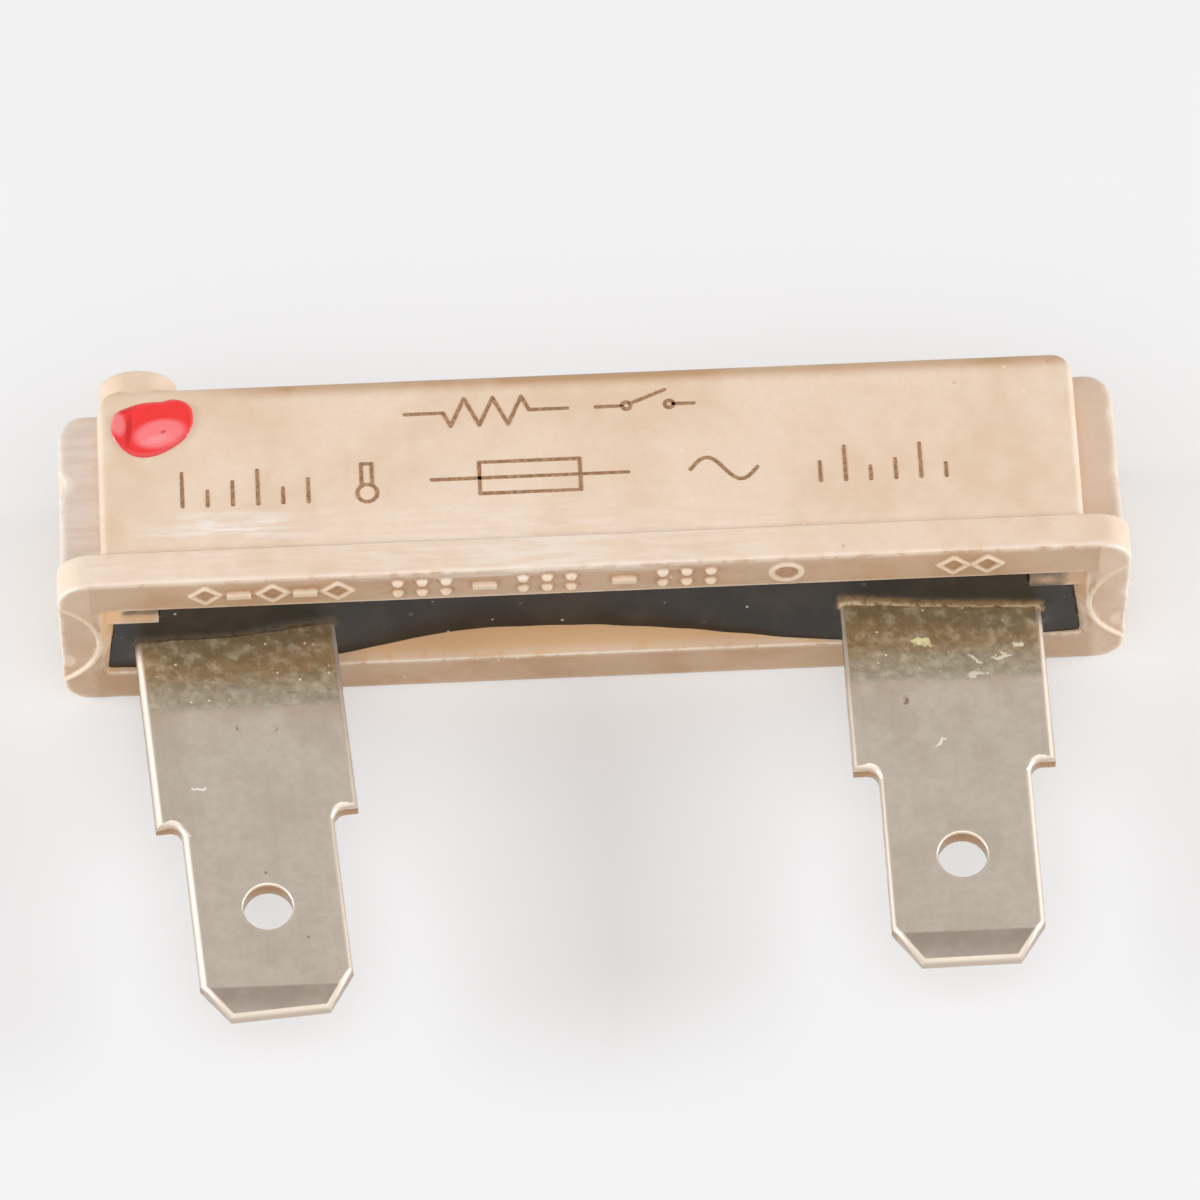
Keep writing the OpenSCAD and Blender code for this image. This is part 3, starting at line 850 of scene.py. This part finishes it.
def eased(x, column):
    """A column of the epoxy's face along X, with its corners eased."""
    table = np.array(EPOXY_FACE)
    places = np.arange(-EPOXY_HALF, EPOXY_HALF, EPOXY_STEP)
    values = np.interp(places, table[:, 0], table[:, column])
    away = np.arange(-EPOXY_STEPS, EPOXY_STEPS + 1) * EPOXY_STEP
    window = np.exp(-((away / EPOXY_SPREAD) ** 2) / 2)
    smooth = np.convolve(np.pad(values, EPOXY_STEPS, "edge"), window / window.sum(), "valid")
    return np.interp(x, places, smooth)


def potting_fill():
    """The potting: the CAD form with a wet edge round each tab and flux along the tabs' roots."""
    piece = node_copy("potting", "potting_fill")
    soften(piece, EPOXY_VOXEL, 2)
    points = points_of(piece)
    skin = np.clip(-normals_of(piece)[:, 1] * 2, 0, 1) * (points[:, 1] < FACE_REACH)
    x, _, z = points.T
    recess = eased(x, 1) + (z + MOUTH_TOP) * eased(x, 2)
    dried = np.zeros(len(points))
    for side, root in TAB_ROOTS.items():
        across = np.maximum(np.abs(x - root) - SHANK_HALF, 0)
        above = np.maximum(np.abs(z - TAB_TOP + TAB_THICKNESS / 2) - TAB_THICKNESS / 2, 0)
        recess -= WET_EDGE * np.exp(-np.hypot(across, above) / WET_FADE)
        strip = grade(z, TAB_TOP + FLUX_HEIGHT, TAB_TOP) * (z > TAB_TOP - 0.2) * grade(across, FLUX_SIDE, 0)
        dried = np.maximum(dried, strip * FLUX[side])
    for height, length, seed in EPOXY_WAVES:
        recess += height * ripple(points * (1, 0, 1), length, seed)
    recess = np.maximum(recess, FACE_SETBACK)
    points[:, 1] += skin * (FLANGE_FRONT + recess - points[:, 1])
    rim = grade(np.abs(z), MOUTH_TOP - 0.35, MOUTH_TOP - 0.05) * (points[:, 1] < FACE_REACH)
    points[:, 2] += np.sign(z) * FACE_OVERLAP * rim
    set_points(piece, points)
    store(piece, "dried", dried * skin)
    dress(piece, "potting", cast_epoxy())


# The tabs.

HOLE_REACH = 1.1

# How far behind the front plane a tab's edges are still rounded.
ROUNDED_DEPTH = 0.4

# Angles in degrees: what counts as flat, what is shaded as an edge, and what counts as the tip's crease.
FLAT_ANGLE = 0.5
EDGE_ANGLE = 32
CREASE_ANGLE = 3

# How the edges that face up, then down, are rounded: widths on the left, on the right, elsewhere and in the
# hole, and the steps.
TAB_ROUNDINGS = {
    "left": ((1, (0.42, 0.28, 0.26, 0.1), 4), (-1, (0.05, 0.05, 0.05, 0.05), 2)),
    "right": ((1, (0.26, 0.34, 0.26, 0.1), 4), (-1, (0.05, 0.05, 0.05, 0.05), 2)),
}


def edge_sides(mesh):
    """The normals of the faces at each edge."""
    sides = {}
    for face in mesh.polygons:
        for key in face.edge_keys:
            sides.setdefault(key, []).append(face.normal)
    return [sides.get(tuple(sorted(edge.vertices)), []) for edge in mesh.edges]


def rim_edges(piece, facing, hole, across, widths):
    """Weighs the edges between the tab's broad face on one side and its cut walls, outside the potting, by
    how wide they are rounded: on the left, on the right, elsewhere and in the hole."""
    mesh = piece.data
    name = "bevel_weight_edge"
    weights = mesh.attributes.get(name) or mesh.attributes.new(name, "FLOAT", "EDGE")
    outside = (FLANGE_FRONT + ROUNDED_DEPTH) * MM
    for edge, weight, normals in zip(mesh.edges, weights.data, edge_sides(mesh)):
        ends = [mesh.vertices[i].co for i in edge.vertices]
        sides = sorted(normals, key=lambda normal: normal.z * facing)
        cut = len(sides) == 2 and sides[0].z * facing < 0.4 and sides[1].z * facing > 0.9
        weight.value = 0.0
        if cut and any(end.y < outside for end in ends):
            turn = sides[0].xy.dot(across)
            width = widths[0] if turn < -0.9 else widths[1] if turn > 0.9 else widths[2]
            in_hole = all((end.xy - hole).length < HOLE_REACH * MM for end in ends)
            weight.value = (widths[3] if in_hole else width) / max(widths)


def mark_crease(piece):
    """Keeps the edges sharp where the tab's broad faces break to the coined tip."""
    for edge, sides in zip(piece.data.edges, edge_sides(piece.data)):
        broad = len(sides) == 2 and all(abs(side.z) > 0.98 for side in sides)
        if broad and sides[0].angle(sides[1]) > math.radians(CREASE_ANGLE):
            edge.use_edge_sharp = True


def tab(side, material):
    """A terminal: the CAD form with the rolled upper edge and fine lower burr of a stamped blank."""
    node = f"terminal_{side}"
    piece = node_copy(node, f"{side}_tab")
    mounts = {mount["name"]: mount for mount in frame["record"]["mounts"]}
    hole = Vector(mounts[f"{side}_tab_hole"]["pos_m"][:2])
    axis = Vector(mounts[f"{side}_tab"]["axis"])
    bpy.ops.object.mode_set(mode="EDIT")
    bpy.ops.mesh.select_all(action="SELECT")
    bpy.ops.mesh.dissolve_limited(angle_limit=math.radians(FLAT_ANGLE))
    bpy.ops.object.mode_set(mode="OBJECT")
    for facing, widths, steps in TAB_ROUNDINGS[side]:
        rim_edges(piece, facing, hole, Vector((-axis.y, axis.x)), widths)
        settings = {"limit_method": "WEIGHT", "width": max(widths) * MM, "segments": steps}
        settings |= {"loop_slide": False, "use_clamp_overlap": False}
        finish_modifier(piece, "BEVEL", settings)
    bpy.ops.object.shade_smooth_by_angle(angle=math.radians(EDGE_ANGLE))
    mark_crease(piece)
    finish_modifier(piece, "WEIGHTED_NORMAL", {"keep_sharp": True})
    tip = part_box(node)[0].y / MM
    points = points_of(piece)
    across = points[:, 0] * -axis.y + points[:, 1] * axis.x
    along = points[:, 1] - tip
    out = FLANGE_FRONT - points[:, 1]
    store(piece, "tab_place", np.stack([across, along, out], axis=1) * MM, "FLOAT_VECTOR")
    dress(piece, node, material)


# The lacquer dab.

DAB_MIDDLE = (-18.15, 6.1)
DAB_OUTLINE = (
    (-1.75, 0.41),
    (-1.75, -0.25),
    (-1.46, -0.74),
    (-0.96, -1.25),
    (-0.46, -1.42),
    (0.25, -1.3),
    (0.96, -0.9),
    (1.61, -0.33),
    (1.75, 0.41),
    (1.68, 0.98),
    (1.39, 1.31),
    (0.82, 1.45),
    (0.54, 1.31),
    (0.25, 1.31),
    (-0.46, 1.31),
    (-1.18, 1.02),
    (-1.54, 0.9),
)
# How far the dab sinks into the face and how high its foot is, and how far in and up its lower edge is dark.
DAB_SINK = 0.02
DAB_FOOT = 0.04
DAB_DARK = (0.3, 0.5)

# Steps from the dab's edge inwards: how far in, and how much higher.
DAB_STEPS = ((0.08, 0.06), (0.1, 0.04), (0.14, 0.01), (0.16, -0.02), (0.2, -0.015))


def lacquer_dab():
    """The paint dot: a puddle drawn up to a rim, with an uneven outline."""
    bpy.ops.mesh.primitive_circle_add(vertices=len(DAB_OUTLINE), radius=MM, fill_type="NGON")
    piece = bpy.context.object
    piece.name = "lacquer_dab"
    for vertex, (x, y) in zip(piece.data.vertices, DAB_OUTLINE):
        vertex.co = Vector((DAB_MIDDLE[0] + x, DAB_MIDDLE[1] + y, MARKED_FACE - DAB_SINK)) * MM
    bpy.ops.object.mode_set(mode="EDIT")
    bpy.ops.mesh.select_all(action="SELECT")
    bpy.ops.mesh.normals_make_consistent(inside=False)
    bpy.ops.mesh.extrude_region_move(TRANSFORM_OT_translate={"value": (0, 0, DAB_FOOT * MM)})
    for inward, rise in DAB_STEPS:
        bpy.ops.mesh.inset(thickness=inward * MM, depth=0)
        bpy.ops.transform.translate(value=(0, 0, rise * MM))
    bpy.ops.mesh.select_all(action="SELECT")
    bpy.ops.mesh.normals_make_consistent(inside=False)
    bpy.ops.object.mode_set(mode="OBJECT")
    finish_modifier(piece, "SUBSURF", {"levels": 3, "render_levels": 3})
    bpy.ops.object.shade_smooth()
    points = points_of(piece)
    outline = np.array(DAB_OUTLINE) + np.array(DAB_MIDDLE)
    gaps = []
    for start, end in zip(outline, np.roll(outline, -1, axis=0)):
        share = np.clip((points[:, :2] - start) @ (end - start) / ((end - start) @ (end - start)), 0, 1)
        gaps.append(np.linalg.norm(points[:, :2] - start - share[:, None] * (end - start), axis=1))
    low_side = grade(DAB_MIDDLE[1] - points[:, 1], 0, DAB_DARK[1])
    store(piece, "edge", grade(np.min(gaps, axis=0), DAB_DARK[0], 0) * low_side)
    dress(piece, "paint_dot", red_lacquer())


# The burnt mark on the marked face.

# Its pads: half-width, thickness, and the levels they take in turn so that no two that cross share a plane.
STROKE = 0.085
PAD_DEPTH = 0.02
PAD_LEVELS = (0, 0.002, 0.004, 0.006)

# Where its two rows lie along Y.
FRONT_ROW = 3.1
REAR_ROW = 6.3

# Rows of ticks: where each starts, and how far its ticks rise over the row's middle line, in turn.
TICK_ROWS = ((-17.0, (0.8, -0.1, 0.3)), (9.6, (0.1, 0.8, -0.2)))
TICKS = 6
TICK_STEP = 1.05
TICK_FOOT = 0.8

# The other symbols: the fuse's line and box, the wave, the thermometer's bulb and stem, the resistor's line
# and peaks, and the contact's rings and lines. Heights are over the row's middle line.
FUSE_LINE = (-6.6, 1.6)
FUSE_BOX = (-4.6, -0.4)
FUSE_HALF = 0.75
WAVE_START = 4.2
WAVE_LENGTH = 2.8
WAVE_HEIGHT = 0.55
WAVE_STEPS = 14
BULB = -9.3
BULB_RADIUS = 0.42
BULB_DROP = 0.5
STEM_HALF = 0.22
STEM_FOOT = -0.1
STEM_TOP = 0.9
RESISTOR_LINE = (-7.6, -6.0, -2.4, -0.8)
PEAK_STEP = 0.6
PEAK_HEIGHT = 0.65
PEAKS = 6
CONTACT_RINGS = (1.68, 3.47)
CONTACT_RADIUS = 0.18
CONTACT_LINES = ((0.4, 0, 1.5, 0), (1.85, 0.1, 3.3, 0.7), (3.65, 0, 4.5, 0))


def circle_strokes(x, y, radius, steps):
    """The strokes of a ring."""
    turns = [2 * math.pi * i / steps for i in range(steps + 1)]
    return chain([(x + radius * math.cos(turn), y + radius * math.sin(turn)) for turn in turns])


def chain(points):
    """The strokes from each point to the next."""
    return [(*a, *b) for a, b in zip(points, points[1:])]


def box_strokes(left, right, low, high):
    """The strokes of a box."""
    return chain([(left, low), (right, low), (right, high), (left, high), (left, low)])


def mark_strokes():
    """Strokes of the mark in millimetres: circuit symbols for a fuse, an alternating voltage, a resistor and
    a contact, a thermometer, and rows of ticks."""
    y = FRONT_ROW
    strokes = [(FUSE_LINE[0], y, FUSE_LINE[1], y), *box_strokes(*FUSE_BOX, y - FUSE_HALF, y + FUSE_HALF)]
    wave = []
    for i in range(WAVE_STEPS + 1):
        share = i / WAVE_STEPS
        wave.append((WAVE_START + WAVE_LENGTH * share, y + WAVE_HEIGHT * math.sin(2 * math.pi * share)))
    strokes += chain(wave)
    strokes += circle_strokes(BULB, y - BULB_DROP, BULB_RADIUS, 14)
    left, right = BULB - STEM_HALF, BULB + STEM_HALF
    foot, top = y + STEM_FOOT, y + STEM_TOP
    strokes += chain([(left, foot), (left, top), (right, top), (right, foot)])
    for start, rises in TICK_ROWS:
        for i in range(TICKS):
            x = start + TICK_STEP * i
            strokes.append((x, y - TICK_FOOT, x, y + rises[i % len(rises)]))
    y = REAR_ROW
    start, first, last, end = RESISTOR_LINE
    peaks = []
    for i in range(PEAKS):
        peaks.append((first + PEAK_STEP * (i + 0.5), y + (PEAK_HEIGHT if i % 2 else -PEAK_HEIGHT)))
    strokes += chain([(start, y), (first, y), *peaks, (last, y), (end, y)])
    strokes += [(x0, y + rise0, x1, y + rise1) for x0, rise0, x1, rise1 in CONTACT_LINES]
    for ring in CONTACT_RINGS:
        strokes += circle_strokes(ring, y, CONTACT_RADIUS, 10)
    return strokes


def burnt_mark():
    """The mark: each stroke a thin pad with round ends that stands a hair proud of the face."""
    made = []
    for number, (x0, y0, x1, y1) in enumerate(mark_strokes()):
        bpy.ops.mesh.primitive_cylinder_add(vertices=12, radius=STROKE * MM, depth=PAD_DEPTH * MM)
        pad = bpy.context.object
        for vertex in pad.data.vertices:
            if vertex.co.x > 0:
                vertex.co.x += math.hypot(x1 - x0, y1 - y0) * MM
        pad.rotation_euler.z = math.atan2(y1 - y0, x1 - x0)
        level = MARKED_FACE + PAD_LEVELS[number % len(PAD_LEVELS)]
        pad.location = Vector((x0, y0, level)) * MM
        made.append(settle(pad))
    piece = join(made, "burnt_mark")
    piece.data.materials.append(laser_burn())
    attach(piece, "root")


# Pieces of the sealed-in cutoff keep their CAD forms.

INNER_FINISHES = {
    "silver_plated_brass": (("B7B4AD", "D9D6CF", 1.0, 0.25, 0.4), ("cutoff_case", "star_contact")),
    "tinned_copper_wire": (("B3B0A9", "CFCBC3", 1.0, 0.28, 0.25), ("case_lead", "isolated_lead")),
    "unglazed_alumina": (("E3DFD4", "F2EFE6", 0.0, 0.55, 0.2), ("ceramic_bushing",)),
    "cured_sealing_resin": (("6B4027", "83522F", 0.0, 0.22, 0.6), ("seal_resin",)),
    "drawn_spring_wire": (("8E8C88", "B0AEA9", 1.0, 0.22, 0.1), ("trip_spring", "compression_spring")),
    "blanked_brass": (("C39A52", "D9B56E", 1.0, 0.25, 0.3), ("pellet_disc", "contact_disc")),
    "pressed_organic_pellet": (("B9CFAE", "D0E0C4", 0.0, 0.6, 0.15), ("thermal_pellet",)),
}


def cutoff_finishes():
    """Gives each hidden CAD node its finish."""
    for name, (values, nodes) in INNER_FINISHES.items():
        material = inner_finish(name, *values)
        for node in nodes:
            mesh = frame["nodes"][node].data
            mesh.materials.clear()
            mesh.materials.append(material)


# Stage.

VIEW_TARGET = Vector((0.196, -1.62, 2.06)) * MM
VIEW_DISTANCE = 0.42
VIEW_YAW = math.radians(3.16)
VIEW_RISE = math.radians(60.65)
VIEW_ROLL = math.radians(-0.38)
VIEW_LENS = 302.5
SENSOR = 36.0

# Lamps: name, place in metres, width, height, power and colour.
SOFTBOXES = (
    ("left_softbox", (-0.65, 0, 0.18), 0.3, 0.1, 3.2, "EAF4FF"),
    ("right_softbox", (0.65, 0, 0.18), 0.3, 0.1, 3.2, "EAF4FF"),
    ("top_softbox", (0, -0.35, 0.7), 1.4, 0.9, 4.5, "FAFBFF"),
)
FILL_COLOUR = "FFF3E6"
FILL_LEVEL = 0.33
WALL_COLOUR = "FFFFFF"
WALL_LEVEL = 1.0
CEILING_LEVEL = 0.62
FLOOR_GLOW = 0.33

# How far up, from 0 at the horizon to 1 overhead, the walls start to turn to the ceiling and have done so.
WALL_TOP = (0.45, 0.8)


def camera():
    """The camera at the photograph's viewing angle."""
    data = bpy.data.cameras.new("camera")
    data.lens = VIEW_LENS
    data.sensor_width = SENSOR
    data.clip_start = 0.01
    data.clip_end = 20
    piece = bpy.data.objects.new("camera", data)
    bpy.context.collection.objects.link(piece)
    turn = Matrix.Rotation(-VIEW_YAW, 4, "Z")
    turn @= Matrix.Rotation(math.radians(90) - VIEW_RISE, 4, "X")
    turn @= Matrix.Rotation(-VIEW_ROLL, 4, "Z")
    back = turn.to_3x3() @ Vector((0, 0, 1))
    piece.matrix_world = Matrix.Translation(VIEW_TARGET + back * VIEW_DISTANCE) @ turn
    bpy.context.scene.camera = piece


def floor():
    """A plain pale table under the flange's lower edge. Part of its white is its own, as on a light table,
    so that the part's shadow is soft and pale."""
    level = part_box("housing")[0].z
    bpy.ops.mesh.primitive_plane_add(size=4, location=(0, 0, level))
    sheet = settle(bpy.context.object)
    sheet.name = "floor"
    material, tree, shader = new_material("pale_light_table")
    shader.inputs["Base Color"].default_value = srgb("F4F3F2")
    shader.inputs["Roughness"].default_value = 0.4
    glow = add(tree, "ShaderNodeEmission", inputs={"Color": srgb("F3F3F3")})
    share = amount(tree, seen_directly(tree), FLOOR_GLOW)
    lit = shader.outputs["BSDF"]
    mix = add(tree, "ShaderNodeMixShader", inputs={0: share, 1: lit, 2: glow.outputs["Emission"]})
    tree.links.new(mix.outputs["Shader"], tree.nodes["Material Output"].inputs["Surface"])
    sheet.data.materials.append(material)


def seen_directly(tree):
    """1 for what the camera sees, also in a mirror or through glass, and 0 for light on the part."""
    ray = add(tree, "ShaderNodeLightPath").outputs
    seen = ray["Is Camera Ray"]
    for other in ("Is Glossy Ray", "Is Transmission Ray"):
        either = add(tree, "ShaderNodeMath", {"operation": "MAXIMUM"}, {0: seen, 1: ray[other]})
        seen = either.outputs["Value"]
    return seen


def softbox(name, place, width, height, power, colour):
    """A soft studio lamp that faces the part."""
    data = bpy.data.lights.new(name, "AREA")
    data.shape = "RECTANGLE"
    data.size = width
    data.size_y = height
    data.energy = power
    data.color = srgb(colour)[:3]
    lamp = bpy.data.objects.new(name, data)
    bpy.context.collection.objects.link(lamp)
    lamp.location = place
    lamp.rotation_euler = (-Vector(place)).to_track_quat("-Z", "Y").to_euler()


def studio():
    """White walls that lie in reflections as bright as they look, under a dimmer ceiling, with a low softbox
    at each side and a broad one over the front."""
    for lamp in SOFTBOXES:
        softbox(*lamp)
    world = bpy.data.worlds.new("studio")
    bpy.context.scene.world = world
    world.use_nodes = True
    tree = world.node_tree
    seen = seen_directly(tree)
    way = add(tree, "ShaderNodeTexCoord").outputs["Generated"]
    rise = add(tree, "ShaderNodeSeparateXYZ", inputs={"Vector": way}).outputs["Z"]
    room = amount(tree, (rise, *WALL_TOP, WALL_LEVEL, CEILING_LEVEL))
    level = add(tree, "ShaderNodeMix", inputs={0: seen, 2: FILL_LEVEL, 3: room}).outputs[0]
    tree.links.new(level, tree.nodes["Background"].inputs["Strength"])
    surround = wash(tree, srgb(FILL_COLOUR), WALL_COLOUR, seen)
    tree.links.new(surround, tree.nodes["Background"].inputs["Color"])


moulding()
potting_fill()
tin = tin_plate()
tab("left", tin)
tab("right", tin)
lacquer_dab()
burnt_mark()
cutoff_finishes()
floor()
studio()
camera()
bpy.context.scene.view_settings.view_transform = "Standard"
